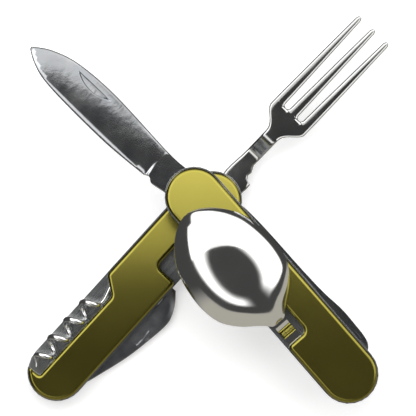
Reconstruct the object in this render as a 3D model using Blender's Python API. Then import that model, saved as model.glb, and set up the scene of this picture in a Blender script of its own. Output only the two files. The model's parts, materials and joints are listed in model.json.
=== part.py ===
"""Folding picnic cutlery that comes apart into a knife half and a fork half.

The fork half lies on the ground and the knife half lies across it. Each half is a stack of flat
plates held by pins that stand along +Z, with its tools turning between the plates.
Both halves are drawn the same way: x runs along the handle from the knife or fork pivot end to the
other end, y to its left seen from above, z up. Dimensions below are in millimetres.
"""
import math

import bmesh
import bpy
from mathutils import Vector
from mathutils.geometry import tessellate_polygon

MM = 0.001

# Handle
END_SPACING = 85.7                  # between the centres of the two round ends
COVER_RADIUS = 10.4
LINER_RADIUS = 10.9
GAP = 0.3                           # between neighbouring layers
COVER_WALL = 0.8
COVER_ROUNDING = 1.4

# Layers from the bottom up: name and thickness
KNIFE_HALF_LAYERS = (("inner_plate", 1.0), ("second_blade", 1.6), ("lower_liner", 0.6), ("knife", 1.8),
                     ("middle_liner", 0.6), ("spoon", 1.6), ("outer_liner", 0.6), ("cover", 2.2))
FORK_HALF_LAYERS = (("inner_plate", 1.0), ("opener", 1.8), ("middle_liner", 0.6), ("fork", 1.6),
                    ("outer_liner", 0.6), ("cover", 2.2))

# How the halves lie: direction of x from +X, and the knife half's origin seen from the fork half's
KNIFE_HALF_ANGLE = math.radians(-49.0)
FORK_HALF_ANGLE = math.radians(-132.3)
KNIFE_HALF_OFFSET = (-6.66, 1.33)
KNIFE_HALF_LIFT = 12.6

# Pins and rivets: place along and across the half
KNIFE_PIN = (0.5, -0.5)
SPOON_PIN = (86.0, -3.1)
KNIFE_HALF_RIVET = (89.0, 6.5)
FORK_PIN = (0.0, 3.0)
OPENER_PIN = (END_SPACING, 0.0)
CORKSCREW_PIN = (46.0, -6.9)
FORK_HALF_RIVET = (34.0, -7.4)
PIN_RADIUS = 1.5
RIVET_RADIUS = 1.1
PIN_CLEARANCE = 0.25
HEAD_HEIGHT = 0.8
STUD_PLACES = (6.0, 13.0)
STUD_HEAD_RADIUS = 1.9
STUD_NECK_RADIUS = 1.2
KEYHOLE_PLACES = (14.0, 21.0)
KEYHOLE_SLIDE = 2.4

# Notches in the covers, where the necks of the spoon and the fork come up
SPOON_NOTCH = (50.0, 63.7, -1.4)    # from, to, depth reached
FORK_NOTCH = (19.8, 31.8, 1.3)
NOTCH_MOUTH_RADIUS = 1.7
NOTCH_CORNER_RADIUS = 2.2

# Knife
KNIFE_OPEN_ANGLE = math.radians(185.0)
KNIFE_EDGE_THICKNESS = 0.3
TANG_RADIUS = 4.5

# Spoon: distances from its pin
SPOON_AXIS_OFFSET = 3.6
SPOON_RISE = (24.2, 31.4)
SPOON_LENGTH = 83.0
SPOON_NECK_WIDTH = 5.4
BOWL_DEPTH = 7.4
SPOON_SHEET = 1.1
# How wide half the neck and bowl are: distance from the pin, half width
BOWL_WIDTHS = ((31.4, 2.7), (35.0, 6.4), (39.0, 11.5), (45.0, 16.2), (52.0, 18.0), (60.0, 17.9),
               (68.3, 16.1), (74.0, 13.2), (78.3, 9.6), (81.2, 5.8), (82.5, 3.0), (83.0, 1.0))

# Fork: distances from its pin
FORK_OPEN_ANGLE = math.radians(178.2)
FORK_AXIS_OFFSET = 3.9
FORK_RISE = (21.5, 29.5)
FORK_LENGTH = 86.4
FORK_NECK_WIDTH = 5.9
SHOULDER_AT = 39.5
SLOT_BOTTOM_AT = 43.0
HEAD_WIDTH = 17.3
SLOT_WIDTH = 2.4
TINE_SPACING_AT_TIPS = 7.05
TINE_TIP_WIDTH = 1.3
FORK_ARCH = 0.9
# The fork's tang: distance from its pin, and its two sides
FORK_TANG = ((-3.6, -1.2, 1.6), (-2.6, -2.6, 3.0), (0.0, -3.7, 4.0), (5.0, -3.4, 5.6), (9.5, -3.0, 7.0),
             (11.5, -3.2, 7.3), (13.6, -3.0, 7.3), (14.2, -1.0, 7.3), (15.6, -0.1, 7.2), (17.2, -0.3, 7.1),
             (18.2, 0.2, 7.0), (19.8, 1.0, 6.9))

# Corkscrew: its helix's axis lies along the handle
HELIX_START = 56.3
HELIX_END = 89.8
HELIX_PITCH = 8.7
HELIX_RADIUS = 2.75
HELIX_TIP_FROM = 85.4               # from here the last turn winds in towards the axis
HELIX_TIP_RADIUS = 1.2
HELIX_AXIS_Y = -7.5
WIRE_RADIUS = 1.05
SHANK_RADIUS = 0.95
EYE_RADIUS = 3.0


# ---------------------------------------------------------------- outlines

def arc(centre, radius, start, end, steps):
    """Points on an arc, angles in degrees."""
    points = []
    for i in range(steps + 1):
        angle = math.radians(start + (end - start) * i / steps)
        points.append((centre[0] + radius * math.cos(angle), centre[1] + radius * math.sin(angle)))
    return points


def circle(centre, radius, steps=16):
    return arc(centre, radius, 0, 360, steps)[:-1]


def filleted(corners, steps=4):
    """A closed outline through corners (x, y) or (x, y, fillet radius)."""
    outline = []
    count = len(corners)
    for i, corner in enumerate(corners):
        here = Vector(corner[:2])
        if len(corner) == 2:
            outline.append(tuple(here))
            continue
        back = Vector(corners[i - 1][:2]) - here
        ahead = Vector(corners[(i + 1) % count][:2]) - here
        half_angle = back.angle(ahead) / 2
        reach = corner[2] / math.tan(half_angle)
        middle = (back.normalized() + ahead.normalized()).normalized()
        centre = here + middle * corner[2] / math.sin(half_angle)
        first = here + back.normalized() * reach - centre
        last = here + ahead.normalized() * reach - centre
        turn = first.angle_signed(last)
        start = math.atan2(first.y, first.x)
        for step in range(steps + 1):
            angle = start - turn * step / steps
            outline.append((centre.x + corner[2] * math.cos(angle), centre.y + corner[2] * math.sin(angle)))
    return outline


def smooth(points, steps=4):
    """An open curve through the points."""
    padded = [points[0]] + list(points) + [points[-1]]
    curve = []
    for i in range(1, len(padded) - 2):
        before, here, ahead, after = (Vector(p) for p in padded[i - 1:i + 3])
        for step in range(steps):
            t = step / steps
            curve.append(tuple(0.5 * (2 * here + (ahead - before) * t
                                      + (2 * before - 5 * here + 4 * ahead - after) * t * t
                                      + (3 * here - before - 3 * ahead + after) * t ** 3)))
    curve.append(tuple(points[-1]))
    return curve


def inset(outline, distance):
    """The outline moved inwards by a distance, corner by corner."""
    moved = []
    count = len(outline)
    for i in range(count):
        here = Vector(outline[i])
        back = (here - Vector(outline[i - 1])).normalized()
        ahead = (Vector(outline[(i + 1) % count]) - here).normalized()
        normal = (Vector((-back.y, back.x)) + Vector((-ahead.y, ahead.x))).normalized()
        stretch = max(0.5, normal.dot(Vector((-ahead.y, ahead.x))))
        moved.append(tuple(here + normal * distance / stretch))
    return moved


def area(outline):
    total = 0.0
    for i, (x, y) in enumerate(outline):
        total += outline[i - 1][0] * y - x * outline[i - 1][1]
    return total / 2


def turned_left(outline):
    return outline if area(outline) > 0 else outline[::-1]


def notch_corners(notch, side):
    """Corners of a cover's notch, in the order in which a left-turning outline meets them."""
    low, high, depth = notch
    edge = side * COVER_RADIUS
    corners = [(low, edge, NOTCH_MOUTH_RADIUS), (low, depth, NOTCH_CORNER_RADIUS),
               (high, depth, NOTCH_CORNER_RADIUS), (high, edge, NOTCH_MOUTH_RADIUS)]
    return corners if side < 0 else corners[::-1]


def handle_outline(radius, lower=(), upper=(), far_end_start=-90):
    """A bar with round ends, with extra corners along its lower and upper side."""
    scale = radius / COVER_RADIUS
    lower = [(c[0], c[1] * scale if abs(c[1]) == COVER_RADIUS else c[1]) + tuple(c[2:]) for c in lower]
    upper = [(c[0], c[1] * scale if abs(c[1]) == COVER_RADIUS else c[1]) + tuple(c[2:]) for c in upper]
    far_end = arc((END_SPACING, 0), radius, far_end_start, 90, 12)
    near_end = arc((0, 0), radius, 90, 270, 14)
    return filleted(near_end + lower + far_end + upper)


def corkscrew_recess():
    """Corners of the recess that holds the corkscrew, up to the handle's far end."""
    return [(46.4, -COVER_RADIUS, 2.4), (51.4, -3.7, 2.4), (91.0, -3.7, 0.9)]


# ---------------------------------------------------------------- meshes

def add_object(name, vertices, faces, colour, half, place=(0, 0), angle=0.0):
    mesh = bpy.data.meshes.new(name)
    mesh.from_pydata([Vector(v) * MM for v in vertices], [], faces)
    bm = bmesh.new()
    bm.from_mesh(mesh)
    bmesh.ops.triangulate(bm, faces=bm.faces)
    bmesh.ops.recalc_face_normals(bm, faces=bm.faces)
    bm.to_mesh(mesh)
    bm.free()
    mesh.shade_smooth()
    mesh.set_sharp_from_angle(angle=math.radians(35))
    mesh.materials.append(material(name, *colour))
    piece = bpy.data.objects.new(name, mesh)
    bpy.context.scene.collection.objects.link(piece)
    piece.parent = half
    piece.location = (place[0] * MM, place[1] * MM, 0)
    piece.rotation_euler = (0, 0, angle)
    return piece


def material(name, colour, metallic, roughness):
    finish = bpy.data.materials.new(name)
    finish.use_nodes = True
    shader = finish.node_tree.nodes["Principled BSDF"]
    shader.inputs["Base Color"].default_value = (*colour, 1.0)
    shader.inputs["Metallic"].default_value = metallic
    shader.inputs["Roughness"].default_value = roughness
    return finish


STEEL = ((0.62, 0.63, 0.64), 1.0, 0.28)
POLISHED = ((0.78, 0.78, 0.78), 1.0, 0.08)
SPRING_STEEL = ((0.42, 0.43, 0.45), 1.0, 0.35)
OLIVE = ((0.30, 0.29, 0.05), 1.0, 0.34)


def add_plate(name, outline, layer, colour, half, holes=(), half_thickness=None, **placing):
    """A flat plate. half_thickness gives each outline point's own, for ground blades."""
    low, high = layer
    middle = (low + high) / 2
    loops = [turned_left(outline)] + [turned_left(hole)[::-1] for hole in holes]
    flat = [[Vector((x, y, 0)) for x, y in loop] for loop in loops]
    points = [point for loop in flat for point in loop]
    rise = half_thickness or (lambda x, y: (high - low) / 2)
    heights = [rise(p.x, p.y) for p in points]
    bottom = [(p.x, p.y, middle - h) for p, h in zip(points, heights)]
    top = [(p.x, p.y, middle + h) for p, h in zip(points, heights)]
    count = len(points)
    triangles = tessellate_polygon(flat)
    faces = [tuple(t) for t in triangles] + [tuple(i + count for i in t) for t in triangles]
    first = 0
    for loop in flat:
        size = len(loop)
        for i in range(size):
            a, b = first + i, first + (i + 1) % size
            faces.append((a, b, b + count, a + count))
        first += size
    return add_object(name, bottom + top, faces, colour, half, **placing)


def add_shell(name, outline, layer, colour, half):
    """A pressed cover: a rounded skirt and a flat top, open underneath."""
    low, high = layer
    outline = turned_left(outline)
    profile = [(0.0, low), (0.0, high - COVER_ROUNDING)]
    for degrees in (30, 60, 90):
        angle = math.radians(degrees)
        profile.append((COVER_ROUNDING * (1 - math.cos(angle)),
                        high - COVER_ROUNDING * (1 - math.sin(angle))))
    inner = [(COVER_WALL, low), (COVER_WALL, high - 1.7), (COVER_ROUNDING, high - COVER_WALL)]
    rings = [[(x, y, z) for x, y in inset(outline, depth)] for depth, z in profile]
    inner_rings = [[(x, y, z) for x, y in inset(outline, depth)] for depth, z in inner]
    return add_skin(name, inner_rings[::-1] + rings, colour, half)


def add_skin(name, rings, colour, half, **placing):
    """A closed body through rings of equally many points, capped at both ends."""
    size = len(rings[0])
    vertices = [point for ring in rings for point in ring]
    faces = []
    for row in range(len(rings) - 1):
        for i in range(size):
            a, b = row * size + i, row * size + (i + 1) % size
            faces.append((a, b, b + size, a + size))
    for row in (0, len(rings) - 1):
        cap = tessellate_polygon([[Vector(point) for point in rings[row]]])
        faces += [tuple(row * size + i for i in t) for t in cap]
    return add_object(name, vertices, faces, colour, half, **placing)


def add_turned(name, profile, colour, half, place, steps=16):
    """A turned piece on a Z axis, from its (radius, height) profile."""
    rings = [[(x, y, height) for x, y in circle((0, 0), radius, steps)] for radius, height in profile]
    return add_skin(name, rings, colour, half, place=place)


def add_sheet(name, rows, thickness, colour, half, missing=(), **placing):
    """A bent sheet through rows of points. missing lists the (row, column) cells left open."""
    height, width = len(rows), len(rows[0])
    count = height * width
    vertices = []
    for side in (-0.5, 0.5):
        vertices += [(x, y, z + side * thickness) for row in rows for x, y, z in row]
    cells = {(i, j) for i in range(height - 1) for j in range(width - 1)} - set(missing)
    faces = []
    for i, j in sorted(cells):
        corner = i * width + j
        ring = (corner, corner + 1, corner + width + 1, corner + width)
        faces.append(ring[::-1])
        faces.append(tuple(k + count for k in ring))
        beside = (((i - 1, j), ring[0], ring[1]), ((i, j + 1), ring[1], ring[2]),
                  ((i + 1, j), ring[2], ring[3]), ((i, j - 1), ring[3], ring[0]))
        for neighbour, a, b in beside:
            if neighbour not in cells:
                faces.append((a, b, b + count, a + count))
    piece = add_object(name, vertices, faces, colour, half, **placing)
    bm = bmesh.new()
    bm.from_mesh(piece.data)
    bmesh.ops.delete(bm, geom=[v for v in bm.verts if not v.link_faces], context='VERTS')
    bmesh.ops.recalc_face_normals(bm, faces=bm.faces)
    bm.to_mesh(piece.data)
    bm.free()
    return piece


def add_cutter(name, centre, radius, layer, half, place, angle):
    """A round cutter for a pin's hole."""
    rings = [[(x, y, z) for x, y in circle(centre, radius, 20)] for z in (layer[0] - 1, layer[1] + 1)]
    cutter = add_skin(name, rings, STEEL, half, place=place, angle=angle)
    cutter.hide_render = True
    cutter.display_type = 'WIRE'
    return cutter


def combine(piece, other, operation):
    modifier = piece.modifiers.new(operation.lower(), 'BOOLEAN')
    modifier.operation = operation
    modifier.solver = 'EXACT'
    modifier.object = other


# ---------------------------------------------------------------- layers and pins

def stack(layers):
    """Where each layer lies: its lowest and highest z."""
    places = {}
    low = 0.0
    for name, thickness in layers:
        places[name] = (low, low + thickness)
        low += thickness + GAP
    return places


def hole(place, radius):
    return circle(place, radius + PIN_CLEARANCE)


def add_pin(name, place, layers, half, radius, head_radius):
    """A pin through the whole stack: flush in the inner plate, headed inside the cover."""
    plate_low, plate_high = layers["inner_plate"]
    head_low = layers["cover"][0]
    flange = radius + 0.5
    profile = [(flange, plate_low + 0.1), (flange, plate_high - 0.1), (radius, plate_high - 0.1),
               (radius, head_low), (head_radius, head_low), (head_radius, head_low + HEAD_HEIGHT * 0.5),
               (head_radius * 0.6, head_low + HEAD_HEIGHT)]
    return add_turned(name, profile, SPRING_STEEL, half, place)


def flange_hole(place, radius):
    return circle(place, radius + 0.5 + PIN_CLEARANCE)


# ---------------------------------------------------------------- knife half

def knife_outline():
    """The knife seen from above, its pin at the origin and its point along +x."""
    spine = smooth([(9.8, -5.8), (19.1, -5.5), (46.9, -7.1), (64.4, -6.1), (75.0, -2.9), (81.6, 1.4)])
    edge = smooth([(81.3, 2.4), (77.0, 4.9), (70.2, 7.0), (57.7, 7.9), (36.9, 8.0), (19.4, 6.7)])
    kick = [(17.8, 5.8), (17.0, 5.9), (15.6, 6.9), (14.4, 7.0), (9.4, 6.0)]
    return spine + edge + kick + arc((0, 0), TANG_RADIUS, 110, 250, 8)


def knife_grind(thickness):
    """Half the thickness at a point of the outline: full at the spine and the tang, thin at the edge."""
    def half_thickness(x, y):
        on_edge = x > 19.0 and y > 0.0
        return (KNIFE_EDGE_THICKNESS if on_edge else thickness) / 2
    return half_thickness


def second_blade_outline():
    """The second blade, folded, its pin at the origin and its spine on the +y side."""
    spine = smooth([(8.0, 9.0), (13.0, 11.4), (25.0, 12.4), (45.0, 12.7), (57.0, 13.2), (66.0, 14.2),
                    (72.5, 14.2), (79.0, 13.9), (82.5, 12.8), (85.2, 9.8)], 3)
    edge = smooth([(84.0, 7.4), (78.0, 4.4), (68.0, 3.0), (50.0, 2.6), (24.0, 2.6)], 3)
    kick = [(17.0, 3.4), (12.5, 0.6), (7.0, -3.4)]
    return spine + edge + kick + arc((0, 0), TANG_RADIUS, 285, 130, 8)


def second_blade_grind(thickness):
    def half_thickness(x, y):
        on_edge = x > 20.0 and y < 8.0
        return (KNIFE_EDGE_THICKNESS if on_edge else thickness) / 2
    return half_thickness


def knife_spring_outline():
    """The knife's back spring, along the +y side, with a nose on the tang and a block at the far end."""
    corners = [(1.5, 6.5), (6.0, 6.9), (9.0, 8.5), (60.0, 8.6), (78.0, 8.0), (83.4, 5.0, 1.0),
               (83.2, -9.0, 1.0)]
    far_end = arc((END_SPACING, 0), LINER_RADIUS - 0.6, -70, 80, 10)
    return filleted(corners + far_end + [(60.0, 10.4), (4.0, 10.3, 1.0)])


def second_blade_spring_outline():
    """The second blade's back spring, along the -y side."""
    far_end = arc((END_SPACING, 0), LINER_RADIUS - 0.6, 60, -85, 10)
    corners = [(60.0, -10.3), (3.0, -10.0, 1.0), (1.5, -6.2), (7.0, -6.4), (10.0, -8.2), (60.0, -8.4),
               (76.0, -7.4), (82.0, -1.0, 2.0), (86.4, 2.4, 2.0), (86.6, 8.0, 0.6)]
    return filleted(far_end + corners)


def spoon_spring_outline():
    """The bar beside the spoon's tang: it holds the plates apart and presses on the tang."""
    near_end = arc((0, 0), LINER_RADIUS - 0.8, 95, 240, 12)
    far_end = arc((END_SPACING, 0), LINER_RADIUS - 0.8, 20, 85, 6)
    return near_end + [(3.0, -4.0), (8.0, 2.0), (20.0, 3.6), (80.0, 3.6), (88.0, 3.4)] + far_end


def spoon_half_width(distance):
    """Half the spoon's width at a distance from its pin."""
    if distance < 0.0:
        return math.sqrt(max(0.09, 3.6 ** 2 - distance ** 2))
    if distance < SPOON_RISE[1]:
        return SPOON_NECK_WIDTH / 2 + (3.6 - SPOON_NECK_WIDTH / 2) * max(0.0, 1 - distance / 12.0)
    return interpolate(BOWL_WIDTHS, distance)


def interpolate(table, x):
    for (x0, y0), (x1, y1) in zip(table, table[1:]):
        if x <= x1:
            return y0 + (y1 - y0) * max(0.0, x - x0) / (x1 - x0)
    return table[-1][1]


def ease(value, span):
    """0 before the span, 1 after it and a smooth S between."""
    t = min(1.0, max(0.0, (value - span[0]) / (span[1] - span[0])))
    return t * t * (3 - 2 * t)


def spoon_rows(tang_z, bowl_z):
    """The spoon's middle surface, its pin at the origin and its tip along +x, hollow side down."""
    stations = [-3.5, -2.8, -1.5, 0.0, 3.0, 7.0, 12.0, 18.0]
    stations += [SPOON_RISE[0] + (SPOON_RISE[1] - SPOON_RISE[0]) * i / 5 for i in range(6)]
    stations += [33.5, 36.0, 39.0, 43.0, 48.0, 54.0, 60.0, 66.0, 71.0, 75.0, 78.0, 80.4, 82.0, 83.0]
    across = [-1.0, -0.9, -0.7, -0.4, 0.0, 0.4, 0.7, 0.9, 1.0]
    rows = []
    for distance in stations:
        centre = SPOON_AXIS_OFFSET * ease(distance, (0.0, 14.0))
        width = spoon_half_width(distance)
        level = tang_z + (bowl_z - tang_z) * ease(distance, SPOON_RISE)
        along = max(0.0, distance - SPOON_RISE[1]) / (SPOON_LENGTH - SPOON_RISE[1])
        crown = BOWL_DEPTH * max(0.0, math.sin(math.pi * along ** 0.85)) ** 0.75
        rows.append([(distance, centre + width * t, level + crown * (1 - abs(t) ** 2.4)) for t in across])
    return rows


def build_knife_half(half):
    layers = stack(KNIFE_HALF_LAYERS)
    pins = ((KNIFE_PIN, PIN_RADIUS), (SPOON_PIN, PIN_RADIUS), (KNIFE_HALF_RIVET, RIVET_RADIUS))
    holes = [hole(place, radius) for place, radius in pins]
    far_holes = holes[1:]
    spoon_notch = notch_corners(SPOON_NOTCH, -1)

    add_shell("knife_half_cover", handle_outline(COVER_RADIUS, lower=spoon_notch), layers["cover"],
              OLIVE, half)
    add_plate("knife_half_outer_liner", handle_outline(LINER_RADIUS, lower=spoon_notch),
              layers["outer_liner"], STEEL, half, holes)
    for name in ("middle_liner", "lower_liner"):
        add_plate("knife_half_" + name, handle_outline(LINER_RADIUS), layers[name], STEEL, half, holes)
    stud_holes = [hole((x, 0.0), STUD_NECK_RADIUS) for x in STUD_PLACES]
    flange_holes = [flange_hole(place, radius) for place, radius in pins]
    add_plate("knife_half_inner_plate", handle_outline(LINER_RADIUS), layers["inner_plate"], STEEL, half,
              flange_holes + stud_holes)

    add_plate("knife_spring", knife_spring_outline(), layers["knife"], SPRING_STEEL, half, far_holes)
    add_plate("second_blade_spring", second_blade_spring_outline(), layers["second_blade"],
              SPRING_STEEL, half, far_holes)
    add_plate("spoon_spring", spoon_spring_outline(), layers["spoon"], SPRING_STEEL, half,
              [holes[0], holes[2]])

    pin_hole = [hole((0, 0), PIN_RADIUS)]
    add_plate("knife_blade", knife_outline(), layers["knife"], STEEL, half, pin_hole,
              knife_grind(layers["knife"][1] - layers["knife"][0]), place=KNIFE_PIN, angle=KNIFE_OPEN_ANGLE)
    add_plate("second_blade", second_blade_outline(), layers["second_blade"], STEEL, half, pin_hole,
              second_blade_grind(layers["second_blade"][1] - layers["second_blade"][0]), place=KNIFE_PIN)

    tang_z = sum(layers["spoon"]) / 2
    bowl_z = layers["cover"][1] + GAP + SPOON_SHEET / 2
    spoon = add_sheet("spoon", spoon_rows(tang_z, bowl_z), SPOON_SHEET, POLISHED, half, place=SPOON_PIN,
                      angle=math.pi)
    combine(spoon, add_cutter("spoon_pin_hole", (0, 0), PIN_RADIUS + PIN_CLEARANCE, layers["spoon"], half,
                              SPOON_PIN, math.pi), 'DIFFERENCE')

    add_pin("knife_pivot_pin", KNIFE_PIN, layers, half, PIN_RADIUS, 2.3)
    add_pin("spoon_pivot_pin", SPOON_PIN, layers, half, PIN_RADIUS, 2.3)
    add_pin("knife_half_rivet", KNIFE_HALF_RIVET, layers, half, RIVET_RADIUS, 1.7)
    stud_foot = stack(FORK_HALF_LAYERS)["cover"][1] + GAP - KNIFE_HALF_LIFT
    for name, x in zip(("interlock_stud_front", "interlock_stud_rear"), STUD_PLACES):
        profile = [(STUD_HEAD_RADIUS, stud_foot), (STUD_HEAD_RADIUS, stud_foot + 1.0),
                   (STUD_NECK_RADIUS, stud_foot + 1.4), (STUD_NECK_RADIUS, layers["inner_plate"][1] - 0.1)]
        add_turned(name, profile, SPRING_STEEL, half, (x, 0.0))


# ---------------------------------------------------------------- fork half

def fork_rows(tang_z, head_z):
    """The fork's middle surface, its pin at the origin and its tines along +x, and its open cells."""
    half_head = HEAD_WIDTH / 2
    tine = (HEAD_WIDTH - 2 * SLOT_WIDTH) / 3
    base = [-half_head, -half_head + tine, -tine / 2, tine / 2, half_head - tine, half_head]
    tips = []
    for middle in (-TINE_SPACING_AT_TIPS, 0.0, TINE_SPACING_AT_TIPS):
        tips += [middle - TINE_TIP_WIDTH / 2, middle + TINE_TIP_WIDTH / 2]
    rows = []
    for distance, low, high in FORK_TANG:
        rows.append([(distance, low + (high - low) * j / 5, tang_z) for j in range(6)])
    stations = [FORK_RISE[0] + (FORK_RISE[1] - FORK_RISE[0]) * i / 5 for i in range(6)]
    stations += [33.0, 35.5, 37.5, SHOULDER_AT, SLOT_BOTTOM_AT, 50.0, 60.0, 70.0, 80.0, 84.5, 86.0,
                 FORK_LENGTH]
    for distance in stations:
        level = tang_z + (head_z - tang_z) * ease(distance, FORK_RISE)
        if distance > FORK_RISE[1]:
            level += FORK_ARCH * math.sin(math.pi * (distance - FORK_RISE[1]) / (FORK_LENGTH - FORK_RISE[1]))
        widening = ease(distance, (31.5, SHOULDER_AT + 1.0)) ** 1.6
        half_neck = FORK_NECK_WIDTH / 2
        taper = max(0.0, (distance - SLOT_BOTTOM_AT) / (FORK_LENGTH - SLOT_BOTTOM_AT))
        narrow = 1.0 if distance < 84.6 else (0.85 if distance < 86.1 else 0.45)
        row = []
        for j in range(6):
            neck = -half_neck + 2 * half_neck * j / 5
            head = base[j] + (tips[j] - base[j]) * taper ** 1.15
            centre = (tips[j - j % 2] + tips[j - j % 2 + 1]) / 2
            spread = head if taper == 0.0 else centre + (head - centre) * narrow
            row.append((distance, FORK_AXIS_OFFSET + neck + (spread - neck) * widening, level))
        rows.append(row)
    slot_row = len(FORK_TANG) + stations.index(SLOT_BOTTOM_AT)
    missing = [(i, j) for i in range(slot_row, len(rows) - 1) for j in (1, 3)]
    return rows, missing


def opener_outline():
    """The can and bottle opener, folded, its pin at the origin; its belly is on the +y side."""
    belly = smooth([(-5.0, 11.2), (-20.3, 15.6), (-30.8, 17.5), (-38.8, 18.5), (-43.1, 18.0), (-47.9, 15.6),
                    (-51.6, 12.6)])
    claw = smooth([(-51.6, 10.0), (-48.0, 10.8), (-43.5, 11.0), (-39.5, 10.4), (-36.9, 8.6),
                   (-35.8, 6.4)], 3)
    lip = [(-36.6, 3.6), (-34.4, 2.0), (-25.0, 1.8), (-12.0, 1.0), (-5.0, 0.4)]
    return belly + claw + lip + arc((0, 0), TANG_RADIUS - 0.3, 195, 380, 10)


def opener_spring_outline():
    """The opener's back spring: it runs from a block at the fork's end to the opener's tang."""
    near_end = arc((0, 0), LINER_RADIUS - 0.8, 150, 262, 9)
    corners = [(40.5, -10.0, 2.0), (42.5, -3.1, 2.0), (80.6, -3.1, 0.6), (80.6, -0.4, 0.6),
               (40.0, -0.3, 2.0), (36.0, -4.6, 2.0), (8.0, -5.6, 2.0), (-2.0, -1.0, 2.0)]
    return filleted(near_end + corners)


def fork_spring_outline():
    """The fork's back spring: beside the tang on the -y side, then along the middle to the far end."""
    far_end = arc((END_SPACING, 0), 6.0, -20, 150, 9)
    corners = [(3.0, -5.2), (3.4, -10.0, 1.0), (41.5, -10.2, 1.0), (42.3, -3.1, 2.0), (90.6, -3.1, 0.8)]
    return filleted(corners + far_end + [(76.0, 1.6, 3.0), (42.0, 1.6, 3.0), (37.0, -5.0, 3.0)])


def corkscrew_path(axis_z):
    """The wire's middle line from the eye to the point, with its radius at each place."""
    eye_x, eye_y = CORKSCREW_PIN
    start_y = HELIX_AXIS_Y + HELIX_RADIUS
    path = []
    for t in (0.24, 0.4, 0.6, 0.8):
        x = eye_x + (HELIX_START - 1.0 - eye_x) * t
        path.append((x, eye_y + (start_y - eye_y) * ease(t, (0.0, 1.0)), axis_z, SHANK_RADIUS))
    steps = 52
    for i in range(steps + 1):
        t = i / steps
        x = HELIX_START - 0.6 + (HELIX_END - HELIX_START + 0.6) * t
        turn = 2 * math.pi * max(0.0, x - HELIX_START) / HELIX_PITCH
        radius = WIRE_RADIUS * min(1.0, 0.15 + 6.0 * (1 - t))
        coil = HELIX_RADIUS + (HELIX_TIP_RADIUS - HELIX_RADIUS) * ease(x, (HELIX_TIP_FROM, HELIX_END))
        path.append((x, HELIX_AXIS_Y + coil * math.cos(turn), axis_z + coil * math.sin(turn), radius))
    return path


def tube_rings(path, place, sides=8):
    """Rings square to a path of (x, y, z, radius), measured from a place."""
    rings = []
    points = [Vector(p[:3]) - Vector((place[0], place[1], 0)) for p in path]
    for i, point in enumerate(points):
        along = (points[min(i + 1, len(points) - 1)] - points[max(i - 1, 0)]).normalized()
        side = along.cross(Vector((0, 0, 1))).normalized()
        up = side.cross(along)
        ring = []
        for k in range(sides):
            angle = 2 * math.pi * k / sides
            ring.append(tuple(point + (side * math.cos(angle) + up * math.sin(angle)) * path[i][3]))
        rings.append(ring)
    return rings


def build_corkscrew(layers, half):
    low, high = layers["fork"]
    middle = (low + high) / 2
    corkscrew = add_plate("corkscrew", circle((0, 0), EYE_RADIUS, 20), layers["fork"], STEEL, half,
                          [hole((0, 0), RIVET_RADIUS)], place=CORKSCREW_PIN)
    wire = add_skin("corkscrew_wire", tube_rings(corkscrew_path(middle), CORKSCREW_PIN), STEEL, half,
                    place=CORKSCREW_PIN)
    wire.hide_render = True
    wire.display_type = 'WIRE'
    combine(corkscrew, wire, 'UNION')


def keyhole(x):
    """A keyhole that takes a stud's head at one end and holds its neck at the other."""
    narrow = STUD_NECK_RADIUS + PIN_CLEARANCE
    wide = STUD_HEAD_RADIUS + PIN_CLEARANCE
    opening = math.degrees(math.asin(narrow / wide))
    return arc((x, 0), wide, opening, 360 - opening, 12) + arc((x + KEYHOLE_SLIDE, 0), narrow, -90, 90, 6)


def build_fork_half(half):
    layers = stack(FORK_HALF_LAYERS)
    pins = ((FORK_PIN, PIN_RADIUS), (OPENER_PIN, PIN_RADIUS), (CORKSCREW_PIN, RIVET_RADIUS),
            (FORK_HALF_RIVET, RIVET_RADIUS))
    holes = [hole(place, radius) for place, radius in pins]
    recess = corkscrew_recess()
    fork_notch = notch_corners(FORK_NOTCH, 1)
    recess_end = -58

    add_shell("fork_half_cover", handle_outline(COVER_RADIUS, recess, fork_notch, recess_end),
              layers["cover"], OLIVE, half)
    add_plate("fork_half_outer_liner", handle_outline(LINER_RADIUS, recess, fork_notch, recess_end),
              layers["outer_liner"], STEEL, half, holes)
    add_plate("fork_half_middle_liner", handle_outline(LINER_RADIUS, recess, (), recess_end),
              layers["middle_liner"], STEEL, half, holes)
    flange_holes = [flange_hole(place, radius) for place, radius in pins]
    add_plate("fork_half_inner_plate", handle_outline(LINER_RADIUS), layers["inner_plate"], STEEL, half,
              flange_holes + [keyhole(x) for x in KEYHOLE_PLACES])

    add_plate("fork_spring", fork_spring_outline(), layers["fork"], SPRING_STEEL, half, [holes[1], holes[3]])
    add_plate("opener_spring", opener_spring_outline(), layers["opener"], SPRING_STEEL, half, [holes[3]])

    tang_z = sum(layers["fork"]) / 2
    thickness = layers["fork"][1] - layers["fork"][0]
    rows, missing = fork_rows(tang_z, layers["cover"][1] + GAP + thickness / 2)
    fork = add_sheet("fork", rows, thickness, POLISHED, half, missing, place=FORK_PIN, angle=FORK_OPEN_ANGLE)
    combine(fork, add_cutter("fork_pin_hole", (0, 0), PIN_RADIUS + PIN_CLEARANCE, layers["fork"],
                             half, FORK_PIN, FORK_OPEN_ANGLE), 'DIFFERENCE')

    add_plate("can_opener", opener_outline(), layers["opener"], STEEL, half, [hole((0, 0), PIN_RADIUS)],
              place=OPENER_PIN)
    build_corkscrew(layers, half)

    add_pin("fork_pivot_pin", FORK_PIN, layers, half, PIN_RADIUS, 2.3)
    add_pin("opener_pivot_pin", OPENER_PIN, layers, half, PIN_RADIUS, 2.3)
    add_pin("corkscrew_pivot_pin", CORKSCREW_PIN, layers, half, RIVET_RADIUS, 1.35)
    add_pin("fork_half_rivet", FORK_HALF_RIVET, layers, half, RIVET_RADIUS, 1.7)


# ---------------------------------------------------------------- the whole object

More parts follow.
